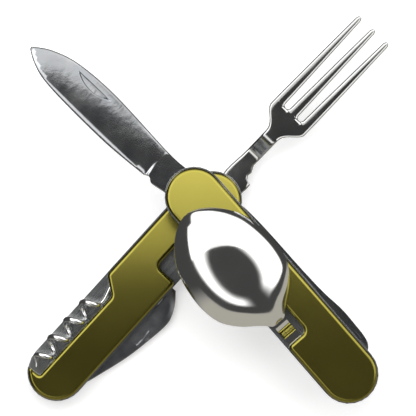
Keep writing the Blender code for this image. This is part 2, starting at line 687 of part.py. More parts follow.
def add_half(name, place, lift, angle):
    half = bpy.data.objects.new(name, None)
    bpy.context.scene.collection.objects.link(half)
    half.location = (place[0] * MM, place[1] * MM, lift * MM)
    half.rotation_euler = (0, 0, angle)
    return half


def centre_on_origin(halves):
    """Moves the halves so that the whole object's box stands centred on the origin."""
    bpy.context.view_layer.update()
    corners = []
    for piece in bpy.context.scene.objects:
        if piece.type == 'MESH' and (not piece.hide_render or piece.name == "corkscrew_wire"):
            corners += [piece.matrix_world @ vertex.co for vertex in piece.data.vertices]
    centre_x = (min(c.x for c in corners) + max(c.x for c in corners)) / 2
    centre_y = (min(c.y for c in corners) + max(c.y for c in corners)) / 2
    for half in halves:
        half.location.x -= centre_x
        half.location.y -= centre_y
    bpy.context.view_layer.update()


def main():
    for piece in list(bpy.data.objects):
        bpy.data.objects.remove(piece, do_unlink=True)
    fork_half = add_half("fork_half", (0, 0), 0, FORK_HALF_ANGLE)
    knife_half = add_half("knife_half", KNIFE_HALF_OFFSET, KNIFE_HALF_LIFT, KNIFE_HALF_ANGLE)
    build_fork_half(fork_half)
    build_knife_half(knife_half)
    centre_on_origin((fork_half, knife_half))


main()
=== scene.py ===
import json
import math

import bmesh
import bpy
from mathutils import Matrix, Vector, noise
from mathutils.geometry import delaunay_2d_cdt, tessellate_polygon


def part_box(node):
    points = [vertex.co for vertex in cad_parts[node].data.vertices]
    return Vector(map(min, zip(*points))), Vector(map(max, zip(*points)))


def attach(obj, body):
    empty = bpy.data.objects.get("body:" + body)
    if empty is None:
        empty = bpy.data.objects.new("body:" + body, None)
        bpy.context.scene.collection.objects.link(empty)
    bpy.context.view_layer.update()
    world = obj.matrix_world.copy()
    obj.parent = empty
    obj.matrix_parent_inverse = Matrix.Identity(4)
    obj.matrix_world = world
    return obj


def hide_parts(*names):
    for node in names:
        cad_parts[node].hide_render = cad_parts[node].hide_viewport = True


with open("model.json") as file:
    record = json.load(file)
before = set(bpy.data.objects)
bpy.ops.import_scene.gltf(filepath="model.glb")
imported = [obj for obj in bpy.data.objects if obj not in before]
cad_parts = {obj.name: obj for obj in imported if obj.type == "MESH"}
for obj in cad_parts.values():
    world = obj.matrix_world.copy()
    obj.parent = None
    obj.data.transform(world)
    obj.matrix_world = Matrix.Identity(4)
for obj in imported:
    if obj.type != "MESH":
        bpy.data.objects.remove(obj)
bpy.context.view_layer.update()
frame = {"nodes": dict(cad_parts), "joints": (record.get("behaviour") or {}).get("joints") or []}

MM = 0.001
RIM_STEEPNESS = 1.6
JOINTS = {joint["name"]: joint for joint in frame["joints"]}
COLLECTION = bpy.context.scene.collection


# ---------------------------------------------------------------- where things are (millimetres)

class Half:
    """One half's own frame: x along the handle from its first pin's end, y to the left, z up."""

    def __init__(self, first, first_at, second, second_at, plate):
        a = Vector(JOINTS[first]["pos_m"][:2]) / MM
        b = Vector(JOINTS[second]["pos_m"][:2]) / MM
        local = Vector(second_at) - Vector(first_at)
        self.angle = math.atan2(*(b - a).yx) - math.atan2(*local.yx)
        self.matrix = Matrix.Rotation(self.angle, 2)
        self.origin = a - self.matrix @ Vector(first_at)
        self.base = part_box(plate)[0].z / MM

    def world(self, point):
        flat = self.origin + self.matrix @ Vector(point[:2])
        return Vector((flat.x, flat.y, point[2])) * MM


KNIFE_PIN = (0.5, -0.5)
SPOON_PIN = (86.0, -3.1)
FORK_PIN = (0.0, 3.0)
OPENER_PIN = (85.7, 0.0)
CORKSCREW_PIN = (46.0, -6.9)
KNIFE_HALF = Half("knife_hinge", KNIFE_PIN, "spoon_hinge", SPOON_PIN, "knife_half_inner_plate")
FORK_HALF = Half("fork_hinge", FORK_PIN, "opener_hinge", OPENER_PIN, "fork_half_inner_plate")
KNIFE_ANGLE = 180.0 - JOINTS["knife_hinge"]["range_deg"][0]
FORK_ANGLE = 180.0 - JOINTS["fork_hinge"]["range_deg"][1]
END_SPACING = 85.7
COVER_RADIUS = 10.4
PIN_HOLE_RADIUS = 1.75
RIVET_HOLE_RADIUS = 1.35


def layer(node):
    low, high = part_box(node)
    return low.z / MM, high.z / MM


def placed(half, pin=(0.0, 0.0), degrees=0.0):
    """A function from a piece's own frame, turned about its pin, to the world in metres."""
    turn = Matrix.Rotation(math.radians(degrees), 2)

    def to_world(point):
        flat = turn @ Vector(point[:2]) + Vector(pin)
        return half.world((flat.x, flat.y, point[2]))
    return to_world


# ---------------------------------------------------------------- outlines

def arc(centre, radius, start, end, steps):
    return [(centre[0] + radius * math.cos(math.radians(start + (end - start) * i / steps)),
             centre[1] + radius * math.sin(math.radians(start + (end - start) * i / steps)))
            for i in range(steps + 1)]


def circle(centre, radius, steps=32):
    return arc(centre, radius, 0, 360, steps)[:-1]


def filleted(corners, steps=8):
    """A closed outline through corners (x, y) or (x, y, fillet radius)."""
    outline = []
    for i, corner in enumerate(corners):
        here = Vector(corner[:2])
        if len(corner) == 2:
            outline.append(tuple(here))
            continue
        back = (Vector(corners[i - 1][:2]) - here).normalized()
        ahead = (Vector(corners[(i + 1) % len(corners)][:2]) - here).normalized()
        half_angle = back.angle(ahead) / 2
        reach = corner[2] / math.tan(half_angle)
        centre = here + (back + ahead).normalized() * corner[2] / math.sin(half_angle)
        first = here + back * reach - centre
        turn = first.angle_signed(here + ahead * reach - centre)
        start = math.atan2(first.y, first.x)
        for step in range(steps + 1):
            angle = start - turn * step / steps
            outline.append((centre.x + corner[2] * math.cos(angle), centre.y + corner[2] * math.sin(angle)))
    return outline


def smooth(points, steps=10):
    """An open curve through the points."""
    padded = [points[0]] + list(points) + [points[-1]]
    curve = []
    for i in range(1, len(padded) - 2):
        before, here, ahead, after = (Vector(p) for p in padded[i - 1:i + 3])
        for step in range(steps):
            t = step / steps
            curve.append(tuple(0.5 * (2 * here + (ahead - before) * t
                                      + (2 * before - 5 * here + 4 * ahead - after) * t * t
                                      + (3 * here - before - 3 * ahead + after) * t ** 3)))
    curve.append(tuple(points[-1]))
    return curve


def area(outline):
    return sum(outline[i - 1][0] * y - x * outline[i - 1][1] for i, (x, y) in enumerate(outline)) / 2


def turned_left(outline):
    return outline if area(outline) > 0 else outline[::-1]


def inset(outline, distance):
    """The outline moved in towards its left side, with its corners kept."""
    moved = []
    for i in range(len(outline)):
        here = Vector(outline[i])
        back = (here - Vector(outline[i - 1])).normalized()
        ahead = (Vector(outline[(i + 1) % len(outline)]) - here).normalized()
        normal = (Vector((-back.y, back.x)) + Vector((-ahead.y, ahead.x))).normalized()
        stretch = max(0.6, normal.dot(Vector((-ahead.y, ahead.x))))
        moved.append(tuple(here + normal * distance / stretch))
    return moved


def interpolate(table, x):
    """A smooth curve's value at x through a table of (x, y)."""
    for i in range(len(table) - 1):
        (x1, y1), (x2, y2) = table[i], table[i + 1]
        if x <= x2:
            x0, y0 = table[i - 1] if i else (2 * x1 - x2, 2 * y1 - y2)
            x3, y3 = table[i + 2] if i + 2 < len(table) else (2 * x2 - x1, 2 * y2 - y1)
            t = min(1.0, max(0.0, (x - x1) / (x2 - x1)))
            slope1 = (y2 - y0) / (x2 - x0) * (x2 - x1)
            slope2 = (y3 - y1) / (x3 - x1) * (x2 - x1)
            return ((2 * t ** 3 - 3 * t ** 2 + 1) * y1 + (t ** 3 - 2 * t ** 2 + t) * slope1
                    + (-2 * t ** 3 + 3 * t ** 2) * y2 + (t ** 3 - t ** 2) * slope2)
    return table[-1][1]


def ease(value, low, high):
    t = min(1.0, max(0.0, (value - low) / (high - low)))
    return t * t * (3 - 2 * t)


# ---------------------------------------------------------------- meshes

def make_piece(name, vertices, faces, to_world, sharp=40.0):
    """An object of the vertices, given in millimetres in the piece's own frame, and the faces."""
    mesh = bpy.data.meshes.new(name)
    mesh.from_pydata([to_world(v) for v in vertices], [], faces)
    bm = bmesh.new()
    bm.from_mesh(mesh)
    bmesh.ops.delete(bm, geom=[v for v in bm.verts if not v.link_faces], context='VERTS')
    bmesh.ops.recalc_face_normals(bm, faces=bm.faces)
    bm.to_mesh(mesh)
    bm.free()
    mesh.shade_smooth()
    mesh.set_sharp_from_angle(angle=math.radians(sharp))
    piece = bpy.data.objects.new(name, mesh)
    COLLECTION.objects.link(piece)
    return piece


def ring_faces(rows, size, first=0):
    faces = []
    for row in range(rows - 1):
        for i in range(size):
            a, b = first + row * size + i, first + row * size + (i + 1) % size
            faces.append((a, b, b + size, a + size))
    return faces


def skin(name, rings, to_world, sharp=40.0):
    """A closed body through rings of equally many points, capped at both ends."""
    size = len(rings[0])
    faces = ring_faces(len(rings), size)
    for row in (0, len(rings) - 1):
        cap = tessellate_polygon([[Vector(p) for p in rings[row]]])
        faces += [tuple(row * size + i for i in t) for t in cap]
    return make_piece(name, [p for ring in rings for p in ring], faces, to_world, sharp)


def loop_edges(size, first=0):
    return [(first + i, first + (i + 1) % size) for i in range(size)]


def grid_over(outline, holes, spacing, margin):
    """A triangular grid of points over the outline, a margin in from its edge and outside the holes."""
    inner = inset(outline, margin)
    low = Vector((min(x for x, y in outline), min(y for x, y in outline)))
    high = Vector((max(x for x, y in outline), max(y for x, y in outline)))
    points = []
    for i in range(int((high.x - low.x) / spacing) + 1):
        for j in range(int((high.y - low.y) / spacing) + 1):
            spot = low + Vector((i + 0.5 * (j % 2), j)) * spacing
            if inside(spot, inner) and not any(inside(spot, loop) for loop in holes):
                points.append(spot)
    return points


def triangulated(edge, holes, more):
    """Points and triangles that fill the edge around the holes, and where each given point ended up."""
    points, edges = [], []
    for loop in [edge] + holes:
        edges += loop_edges(len(loop), len(points))
        points += [Vector(p) for p in loop]
    flat, _, faces, origins, _, _ = delaunay_2d_cdt(points + more, edges, [], 2, 1e-5)
    triangles = []
    for face in faces:
        centre = sum((flat[i] for i in face), Vector((0, 0))) / len(face)
        if inside(centre, edge) and not any(inside(centre, loop) for loop in holes):
            triangles.append(tuple(face))
    place_of = {old: new for new, olds in enumerate(origins) for old in olds}
    return flat, triangles, place_of


def plate(name, outline, z, to_world, holes=(), rim=0.15, relief=None, detail=(), spacing=1.5, sharp=40.0):
    """A plate with eased edges. relief(x, y) gives its depth below and above the middle there;
    detail is more points where the relief needs them."""
    middle = (z[0] + z[1]) / 2
    half_height = (z[1] - z[0]) / 2
    relief = relief or (lambda x, y: (half_height, half_height))
    outline = turned_left(outline)
    holes = [turned_left(hole)[::-1] for hole in holes]
    more = grid_over(outline, holes, spacing, rim + spacing * 0.5) + [Vector(p) for p in detail]
    flat, triangles, place_of = triangulated(inset(outline, rim), holes, more)
    count, size = len(flat), len(outline)
    wall = 2 * count
    sides = ((0, -1), (1, 1))
    vertices, faces = [], []
    for side, sign in sides:
        vertices += [(p.x, p.y, middle + sign * relief(p.x, p.y)[side]) for p in flat]
        faces += [tuple(i + side * count for i in triangle) for triangle in triangles]
    for side, sign in sides:
        for x, y in outline:
            depth = max(0.02, relief(x, y)[side] - rim * RIM_STEEPNESS)
            vertices.append((x, y, middle + sign * depth))
    for i, j in loop_edges(size):
        a, b = place_of[i], place_of[j]
        faces.append((wall + i, wall + j, wall + size + j, wall + size + i))
        faces.append((a, b, wall + j, wall + i))
        faces.append((a + count, b + count, wall + size + j, wall + size + i))
    first = size
    for loop in holes:
        for i, j in loop_edges(len(loop), first):
            a, b = place_of[i], place_of[j]
            faces.append((a, b, b + count, a + count))
        first += len(loop)
    return make_piece(name, vertices, faces, to_world, sharp)


def inside(point, loop):
    x, y = point
    result = False
    for i in range(len(loop)):
        (x1, y1), (x2, y2) = loop[i - 1], loop[i]
        if (y1 > y) != (y2 > y) and x < x1 + (y - y1) / (y2 - y1) * (x2 - x1):
            result = not result
    return result


def distance_to(curve, x, y):
    here = Vector((x, y))
    best = 1e9
    for a, b in zip(curve, curve[1:]):
        a, b = Vector(a), Vector(b)
        along = b - a
        t = min(1.0, max(0.0, (here - a).dot(along) / along.length_squared))
        best = min(best, (here - a - along * t).length)
    return best


def points_near(curve, reach, spacing):
    """A fine grid of points along a curve, for a nail nick or a grind line."""
    points = []
    for a, b in zip(curve, curve[1:]):
        a, b = Vector(a), Vector(b)
        along = b - a
        across = Vector((-along.y, along.x)).normalized()
        steps = max(1, int(along.length / spacing))
        for i in range(steps):
            for j in range(-int(reach / spacing), int(reach / spacing) + 1):
                points.append(a + along * (i / steps) + across * j * spacing)
    return points


def kept_inside(points, outline, margin):
    bounds = inset(turned_left(outline), margin)
    return [point for point in points if inside(point, bounds)]


def finish_piece(piece, body, nodes, finish):
    piece.data.materials.append(finish)
    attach(piece, body)
    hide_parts(*nodes)


# ---------------------------------------------------------------- materials

def new_material(name):
    finish = bpy.data.materials.new(name)
    finish.use_nodes = True
    tree = finish.node_tree
    return finish, tree, tree.nodes["Principled BSDF"]


def add_node(tree, kind, **values):
    node = tree.nodes.new(kind)
    for key, value in values.items():
        if hasattr(node, key):
            setattr(node, key, value)
        else:
            node.inputs[key.replace("_", " ")].default_value = value
    return node


def noise_at(tree, scale, detail=4.0, stretch=(1, 1, 1), turn=0.0):
    """Noise in the object's own space, in features per metre; stretch scales it along each axis."""
    place = tree.nodes.new("ShaderNodeTexCoord")
    mapping = tree.nodes.new("ShaderNodeMapping")
    mapping.vector_type = 'TEXTURE'
    mapping.inputs["Rotation"].default_value = (0, 0, turn)
    scaling = tree.nodes.new("ShaderNodeMapping")
    scaling.inputs["Scale"].default_value = stretch
    texture = add_node(tree, "ShaderNodeTexNoise", Scale=scale, Detail=detail)
    tree.links.new(place.outputs["Object"], mapping.inputs["Vector"])
    tree.links.new(mapping.outputs["Vector"], scaling.inputs["Vector"])
    tree.links.new(scaling.outputs["Vector"], texture.inputs["Vector"])
    return texture.outputs["Fac"]


def remap(tree, value, low, high, new_low, new_high):
    node = tree.nodes.new("ShaderNodeMapRange")
    for name, number in zip(("From Min", "From Max", "To Min", "To Max"), (low, high, new_low, new_high)):
        node.inputs[name].default_value = number
    tree.links.new(value, node.inputs["Value"])
    return node.outputs["Result"]


def maths(tree, operation, *values):
    """A math node's output; values are numbers or other outputs."""
    node = add_node(tree, "ShaderNodeMath", operation=operation)
    for socket, value in zip(node.inputs, values):
        if isinstance(value, (int, float)):
            socket.default_value = value
        else:
            tree.links.new(value, socket)
    return node.outputs[0]


def step(tree, value, low, high):
    node = tree.nodes.new("ShaderNodeMapRange")
    node.interpolation_type = 'SMOOTHSTEP'
    node.inputs["From Min"].default_value = low
    node.inputs["From Max"].default_value = high
    tree.links.new(value, node.inputs["Value"])
    return node.outputs["Result"]


def mix_colour(tree, factor, first, second):
    node = add_node(tree, "ShaderNodeMix", data_type='RGBA')
    colours = {"A": (*first, 1), "B": (*second, 1)}
    for socket in node.inputs:
        if socket.type == 'RGBA':
            socket.default_value = colours[socket.name]
    tree.links.new(factor, node.inputs["Factor"])
    return next(o for o in node.outputs if o.type == 'RGBA')


def add_bump(tree, shader, height, strength, distance):
    bump = add_node(tree, "ShaderNodeBump", Strength=strength, Distance=distance)
    tree.links.new(height, bump.inputs["Height"])
    tree.links.new(bump.outputs["Normal"], shader.inputs["Normal"])


def steel(name, light, dark, rough, grain, turn, bump=0.1):
    """Steel with a fine grain in the direction of turn, soft patches and a varying gloss."""
    finish, tree, shader = new_material(name)
    shader.inputs["Metallic"].default_value = 1.0
    lines = noise_at(tree, grain, 3.0, (0.03, 1.0, 1.0), turn)
    patches = noise_at(tree, 40.0, 5.0)
    tree.links.new(mix_colour(tree, remap(tree, patches, 0.35, 0.65, 0, 1), dark, light),
                   shader.inputs["Base Color"])
    gloss = maths(tree, 'MULTIPLY', remap(tree, lines, 0.3, 0.7, 0.92, 1.08),
                  remap(tree, patches, 0.3, 0.7, *rough))
    tree.links.new(gloss, shader.inputs["Roughness"])
    add_bump(tree, shader, lines, bump, 0.00002)
    return finish


def wavy_steel(name, light, dark, rough):
    """Hand-polished steel: soft patches, and faint ripples that fray what it reflects."""
    finish, tree, shader = new_material(name)
    shader.inputs["Metallic"].default_value = 1.0
    patches = noise_at(tree, 130.0, 5.0)
    ripples = noise_at(tree, 420.0, 6.0)
    tree.links.new(mix_colour(tree, remap(tree, patches, 0.35, 0.65, 0, 1), dark, light),
                   shader.inputs["Base Color"])
    tree.links.new(remap(tree, patches, 0.3, 0.7, rough, rough * 1.5), shader.inputs["Roughness"])
    add_bump(tree, shader, ripples, 1.0, 0.00003)
    return finish


def mirror_steel(name, colour, rough):
    """Polished steel with faint hairline scratches."""
    finish, tree, shader = new_material(name)
    shader.inputs["Metallic"].default_value = 1.0
    shader.inputs["Base Color"].default_value = (*colour, 1)
    hair = noise_at(tree, 900.0, 2.0, (1.0, 0.02, 1.0), 0.6)
    smear = noise_at(tree, 55.0, 3.0)
    tree.links.new(remap(tree, smear, 0.35, 0.7, rough, rough * 2.2), shader.inputs["Roughness"])
    add_bump(tree, shader, remap(tree, hair, 0.62, 0.75, 0, 1), 0.03, 0.00001)
    return finish


def rim_highlight_finish(name):
    """Painted highlight for the fork's rims: rougher than the polished face, and painted a pale, nearly
    non-metallic colour so the rims show as bright lines.
    """
    finish, tree, shader = new_material(name)
    cloud = noise_at(tree, 60.0, 3.0)
    # painted highlight: a near-white colour, varied in soft patches, that makes the rims read as bright lines
    colour = mix_colour(tree, remap(tree, cloud, 0.3, 0.7, 0, 1), (0.95, 0.95, 0.93), (0.80, 0.80, 0.78))
    tree.links.new(colour, shader.inputs["Base Color"])
    shader.inputs["Metallic"].default_value = 0.1
    shader.inputs["Roughness"].default_value = 0.35
    return finish


def anodised(name):
    """Satin olive anodising with a fine grain, over a top that is faintly crowned along its length."""
    finish, tree, shader = new_material(name)
    shader.inputs["Metallic"].default_value = 1.0
    cloud = noise_at(tree, 22.0, 5.0)
    grain = noise_at(tree, 2600.0, 2.0)
    colour = mix_colour(tree, remap(tree, cloud, 0.3, 0.7, 0, 1), (0.25, 0.220, 0.042), (0.285, 0.250, 0.050))
    tree.links.new(colour, shader.inputs["Base Color"])
    tree.links.new(remap(tree, cloud, 0.3, 0.7, 0.22, 0.26), shader.inputs["Roughness"])
    place = tree.nodes.new("ShaderNodeTexCoord")
    split = tree.nodes.new("ShaderNodeSeparateXYZ")
    tree.links.new(place.outputs["Object"], split.inputs[0])
    flat_until, curvature, grain_height = -0.055, 3.2, 0.0000016
    rise = maths(tree, 'MAXIMUM', maths(tree, 'ADD', split.outputs["Y"], -flat_until), 0.0)
    crown = maths(tree, 'MULTIPLY', maths(tree, 'MULTIPLY', rise, rise), -0.5 * curvature)
    height = maths(tree, 'ADD', crown, maths(tree, 'MULTIPLY', grain, grain_height))
    add_bump(tree, shader, height, 1.0, 1.0)
    return finish


BLADE = wavy_steel("blade_steel", (0.50, 0.51, 0.515), (0.44, 0.455, 0.475), 0.11)
TOOL = wavy_steel("tool_steel", (0.50, 0.51, 0.52), (0.42, 0.43, 0.45), 0.18)
# painted highlight for the fork's sloping rims, not a real finish of the steel
RIM_HIGHLIGHT = rim_highlight_finish("painted_highlight_rims")
FORK_STEEL = mirror_steel("fork_steel", (0.52, 0.52, 0.51), 0.09)
MIRROR = mirror_steel("polished_steel", (0.84, 0.84, 0.82), 0.06)
WIRE = mirror_steel("wire_steel", (0.80, 0.80, 0.79), 0.12)
OLIVE = anodised("anodised_olive")
LINER_COLOURS = ((0.46, 0.47, 0.47), (0.38, 0.39, 0.40))
KNIFE_LINER = steel("liner_steel", *LINER_COLOURS, (0.24, 0.3), 900.0, KNIFE_HALF.angle, 0.05)
FORK_LINER = steel("liner_steel_b", *LINER_COLOURS, (0.24, 0.3), 900.0, FORK_HALF.angle, 0.05)
SPRING = steel("spring_steel", (0.44, 0.45, 0.47), (0.33, 0.34, 0.36), (0.26, 0.38), 800.0,
               KNIFE_HALF.angle, 0.15)
PIN = steel("pin_steel", (0.5, 0.5, 0.52), (0.42, 0.42, 0.44), (0.22, 0.34), 500.0, 0.4)


# ---------------------------------------------------------------- covers

def handle_outline(lower=(), upper=(), far_end_start=-90):
    """Two round ends and straight sides, with more corners along the lower or the upper side."""
    far_end = arc((END_SPACING, 0), COVER_RADIUS, far_end_start, 90, 40)
    near_end = arc((0, 0), COVER_RADIUS, 90, 270, 44)
    return filleted(near_end + list(lower) + far_end + list(upper))


def cover(name, outline, z, half, body):
    """A pressed cover: straight skirt, rounded shoulder and a faintly crowned top, open underneath."""
    low, high = z
    outline = turned_left(outline)
    rounding, wall, steps = 1.4, 0.8, 10
    outer = [(0.1, low), (0.0, low + 0.12), (0.0, high - rounding)]
    for i in range(1, steps + 1):
        angle = math.pi / 2 * i / steps
        outer.append((rounding * (1 - math.cos(angle)), high - rounding * (1 - math.sin(angle))))
    outer.append((rounding + 0.2, high))
    inner = [(wall, low), (wall, high - 1.7), (wall + 0.2, high - 1.1), (rounding, high - wall)]
    rings = [[(x, y, h) for x, y in inset(outline, depth)] for depth, h in inner[::-1] + outer]
    piece = skin(name, rings, placed(half), sharp=50.0)
    finish_piece(piece, body, [name.replace("_shell", "")], OLIVE)


def neck_notch(first_x, last_x, mouth_y, floor_y):
    """The corners of a notch for a tool's neck, from one mouth corner to the other."""
    return [(first_x, mouth_y, 1.7), (first_x, floor_y, 2.2), (last_x, floor_y, 2.2), (last_x, mouth_y, 1.7)]


def build_covers():
    spoon_notch = neck_notch(50.0, 63.7, -COVER_RADIUS, -1.4)
    cover("knife_half_cover_shell", handle_outline(lower=spoon_notch), layer("knife_half_cover"),
          KNIFE_HALF, "knife_half")
    corkscrew_recess = [(46.4, -COVER_RADIUS, 2.4), (51.4, -3.7, 2.4), (91.0, -3.7, 0.9)]
    fork_notch = neck_notch(31.8, 19.8, COVER_RADIUS, 1.3)
    cover("fork_half_cover_shell", handle_outline(corkscrew_recess, fork_notch, -58),
          layer("fork_half_cover"), FORK_HALF, "fork_half")


# ---------------------------------------------------------------- blades

def build_knife():
    spine = smooth([(9.8, -5.8), (19.1, -5.5), (46.9, -7.1), (64.4, -6.1), (75.0, -2.9), (81.6, 1.4)])
    edge = smooth([(81.3, 2.4), (77.0, 4.9), (70.2, 7.0), (57.7, 7.9), (36.9, 8.0), (19.4, 6.7)])
    kick = [(17.8, 5.8), (17.0, 5.9), (15.6, 6.9), (14.4, 7.0), (9.4, 6.0)]
    outline = spine + edge + kick + arc((0, 0), 4.5, 110, 250, 24)
    z = layer("knife_blade")
    full = (z[1] - z[0]) / 2
    edge_half, grind_reach, spine_bevel = 0.26, 8.7, 0.8
    nick_from, nick_to, nick_wall = Vector((46.7, -4.6)), Vector((62.9, -4.3)), 0.32

    def nick_width(along):
        return 2.6 * math.sin(math.pi * along) ** 0.8
    nick = [tuple(nick_from.lerp(nick_to, i / 20) + Vector((0.0, nick_width(i / 20)))) for i in range(21)]
    plunge_line = [(-5.6, 18.5), (0.0, 18.9), (6.8, 17.9)]
    plunge = [(interpolate(plunge_line, y) + 0.5, y) for y in [-5.2 + 0.8 * i for i in range(15)]]
    bevel_line = [(x, y + spine_bevel) for x, y in spine if 20.0 < x < 76.0]

    def relief(x, y):
        start = interpolate(plunge_line, y)
        on_blade = ease(x, start, start + 0.9)
        short_of = (grind_reach - min(distance_to(edge, x, y), 13.5)) / grind_reach
        ground = edge_half + (full - edge_half) * (1 - short_of ** 2)
        half = full + (ground - full) * on_blade
        half -= 0.1 * on_blade * max(0.0, 1 - distance_to(spine, x, y) / spine_bevel)
        along = (x - nick_from.x) / (nick_to.x - nick_from.x)
        dent = 0.0
        if 0.0 < along < 1.0:
            down = y - nick_from.lerp(nick_to, along).y
            left = nick_width(along) - down
            dent = max(0.0, 0.42 * min(1.0, down / nick_wall, left / nick_wall))
        return half, half - dent
    chord = [tuple(nick_from), tuple(nick_to)]
    detail = points_near(nick, 0.3, 0.15) + points_near(chord, 0.3, 0.15)
    detail += points_near(plunge, 1.0, 0.25) + points_near(bevel_line, 0.2, 0.4)
    detail = kept_inside(detail, outline, 0.5)
    piece = plate("knife_ground_blade", outline, z, placed(KNIFE_HALF, KNIFE_PIN, KNIFE_ANGLE),
                  [circle((0, 0), PIN_HOLE_RADIUS)], 0.36, relief, detail, 1.2, 32.0)
    finish_piece(piece, "knife", ["knife_blade"], BLADE)


def groove(line, x, y, depth, reach=0.5):
    """How deep a round-bottomed groove along the line is at (x, y)."""
    return depth * max(0.0, 1 - (distance_to(line, x, y) / reach) ** 2)


def build_second_blade():
    spine = smooth([(8.0, 9.0), (13.0, 11.4), (25.0, 12.4), (45.0, 12.7), (57.0, 13.2), (66.0, 14.2),
                    (72.5, 14.2), (79.0, 13.9), (82.5, 12.8), (85.2, 9.8)])
    edge = smooth([(84.0, 7.4), (78.0, 4.4), (68.0, 3.0), (50.0, 2.6), (24.0, 2.6)])
    outline = spine + edge + [(17.0, 3.4), (12.5, 0.6), (7.0, -3.4)] + arc((0, 0), 4.5, 285, 130, 24)
    z = layer("second_blade")
    full = (z[1] - z[0]) / 2
    edge_half = 0.14
    nick = [(57.0 + 22.0 * i / 12, 12.15 + 0.5 * math.sin(math.pi * i / 12)) for i in range(13)]

    def relief(x, y):
        ground = edge_half + (full - edge_half) * min(1.0, distance_to(edge, x, y) / 8.5) ** 0.8
        half = full + (ground - full) * ease(x, 20.0, 22.0)
        return half, half - groove(nick, x, y, 0.05)
    detail = kept_inside(points_near(nick, 0.6, 0.3), outline, 0.4)
    piece = plate("second_ground_blade", outline, z, placed(KNIFE_HALF, KNIFE_PIN),
                  [circle((0, 0), PIN_HOLE_RADIUS)], 0.1, relief, detail, 1.4, 32.0)
    finish_piece(piece, "second_blade", ["second_blade"], BLADE)


def build_opener():
    belly = smooth([(-5.0, 11.2), (-20.3, 15.6), (-30.8, 17.5), (-38.8, 18.5), (-43.1, 18.0), (-47.9, 15.6),
                    (-51.6, 12.6)])
    claw = smooth([(-51.6, 10.0), (-48.0, 10.8), (-43.5, 11.0), (-39.5, 10.4), (-36.9, 8.6), (-35.8, 6.4)])
    lip = [(-36.6, 3.6), (-34.4, 2.0), (-25.0, 1.8), (-12.0, 1.0), (-5.0, 0.4)]
    outline = belly + claw + lip + arc((0, 0), 4.2, 195, 380, 24)
    z = layer("can_opener")
    full = (z[1] - z[0]) / 2
    edge_half = 0.42
    nick = [(-27.0 - 7.2 * t, 14.9 - 0.2 * t + 0.3 * math.sin(math.pi * t))
            for t in (i / 8 for i in range(9))]

    def relief(x, y):
        ground = edge_half + (full - edge_half) * min(1.0, distance_to(belly, x, y) / 2.2)
        half = full + (ground - full) * ease(-x, 29.0, 33.0)
        return half, half - groove(nick, x, y, 0.12)
    detail = kept_inside(points_near(nick, 0.7, 0.35), outline, 0.4)
    piece = plate("can_opener_plate", outline, z, placed(FORK_HALF, OPENER_PIN),
                  [circle((0, 0), PIN_HOLE_RADIUS)], 0.28, relief, detail, 1.2, 32.0)
    finish_piece(piece, "can_opener", ["can_opener"], TOOL)


# ---------------------------------------------------------------- spoon and fork

def sheet(name, rows, to_world, missing=(), sharp=40.0):
    """A bent sheet through rows of (x, y, z, half thickness); missing lists the cells left open."""
    height, width = len(rows), len(rows[0])
    count = height * width
    vertices = [(x, y, z + side * half) for side in (-1, 1) for row in rows for x, y, z, half in row]
    cells = {(i, j) for i in range(height - 1) for j in range(width - 1)} - set(missing)
    faces = []
    for i, j in sorted(cells):
        k = i * width + j
        ring = (k, k + 1, k + width + 1, k + width)
        faces += [ring[::-1], tuple(n + count for n in ring)]
        beside = (((i - 1, j), 0, 1), ((i, j + 1), 1, 2), ((i + 1, j), 2, 3), ((i, j - 1), 3, 0))
        for neighbour, a, b in beside:
            if neighbour not in cells:
                faces.append((ring[a], ring[b], ring[b] + count, ring[a] + count))
    return make_piece(name, vertices, faces, to_world, sharp)


def pin_hole(piece, to_world, z, radius=PIN_HOLE_RADIUS):
    """Cuts the pin's hole and keeps the result as plain mesh."""
    rings = [[(x, y, height) for x, y in circle((0, 0), radius)] for height in (z[0] - 2, z[1] + 2)]
    cutter = skin("cutter", rings, to_world)
    modifier = piece.modifiers.new("hole", 'BOOLEAN')
    modifier.operation = 'DIFFERENCE'
    modifier.solver = 'EXACT'
    modifier.object = cutter
    apply_modifiers(piece)
    bpy.data.objects.remove(cutter, do_unlink=True)


def apply_modifiers(piece):
    graph = bpy.context.evaluated_depsgraph_get()
    mesh = bpy.data.meshes.new_from_object(piece.evaluated_get(graph))
    piece.modifiers.clear()
    piece.data = mesh


def add_edge_bevel(piece, width, segments=3, angle=50.0):
    bevel = piece.modifiers.new("edges", 'BEVEL')
    bevel.width = width * MM
    bevel.segments = segments
    bevel.limit_method = 'ANGLE'
    bevel.angle_limit = math.radians(angle)


FOLDED_GAP = 0.3
BOWL_WIDTHS = ((31.4, 2.7), (35.0, 6.4), (39.0, 11.5), (45.0, 16.2), (52.0, 18.0), (60.0, 17.9), (68.3, 16.1),
               (74.0, 13.2), (78.3, 9.6), (81.2, 5.8), (82.5, 3.0), (83.0, 1.0))


SPOON_RISE, SPOON_LENGTH, SPOON_THICKNESS = (24.2, 31.4), 83.0, 1.1
BOWL_DEPTH, BOWL_TOP_AT = 7.4, 55.0


def spoon_half_width(x):
    if x < 0.0:
        return math.sqrt(max(0.02, 3.6 ** 2 - x ** 2))
    if x < SPOON_RISE[1]:
        return 2.7 + 0.9 * max(0.0, 1 - x / 12.0)
    return interpolate(BOWL_WIDTHS, x)


def spoon_stations():
    """The places along the spoon, closer together at its round ends and the step in its neck."""
    low, high = SPOON_RISE
    stations = [-3.59 + 3.59 * math.sin(math.pi / 2 * i / 7) for i in range(7)] + [2.0 * i for i in range(12)]
    stations += [low + (high - low) * i / 14 for i in range(15)]
    stations += [BOWL_TOP_AT - (BOWL_TOP_AT - high) * math.cos(math.pi / 2 * i / 24) for i in range(1, 25)]
    beyond = SPOON_LENGTH - BOWL_TOP_AT
    return stations + [BOWL_TOP_AT + beyond * math.sin(math.pi / 2 * i / 28) for i in range(1, 29)]


